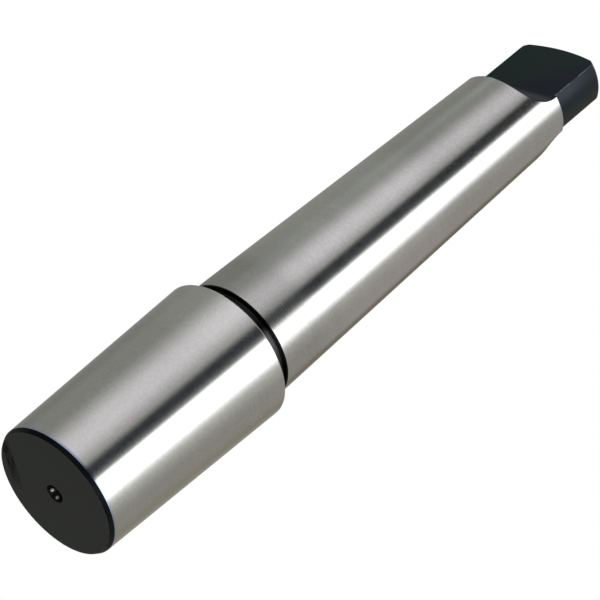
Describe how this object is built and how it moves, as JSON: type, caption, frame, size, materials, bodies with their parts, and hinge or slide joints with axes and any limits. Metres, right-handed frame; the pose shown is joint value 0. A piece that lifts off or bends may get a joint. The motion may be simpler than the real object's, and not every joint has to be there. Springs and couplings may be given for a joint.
{
  "type": "drill chuck arbor",
  "caption": "One-piece steel arbor: a short taper for a drill chuck, a relief neck, a long tapered shank and a flat-sided tang.",
  "frame": {"origin": "centre of the flat front face, on the axis; the arbor stands on that face", "axes": "+Z along the axis from the front face to the tang's tip; the tang's flats face -Y and +Y"},
  "size_m": [0.0284, 0.0284, 0.145],
  "materials": {
    "ground_steel": "ground tapers; blackened front face, chamfer, neck and tang"
  },
  "bodies": {
    "root": {"chuck_arbor": "ground_steel"}
  },
  "joints": []
}
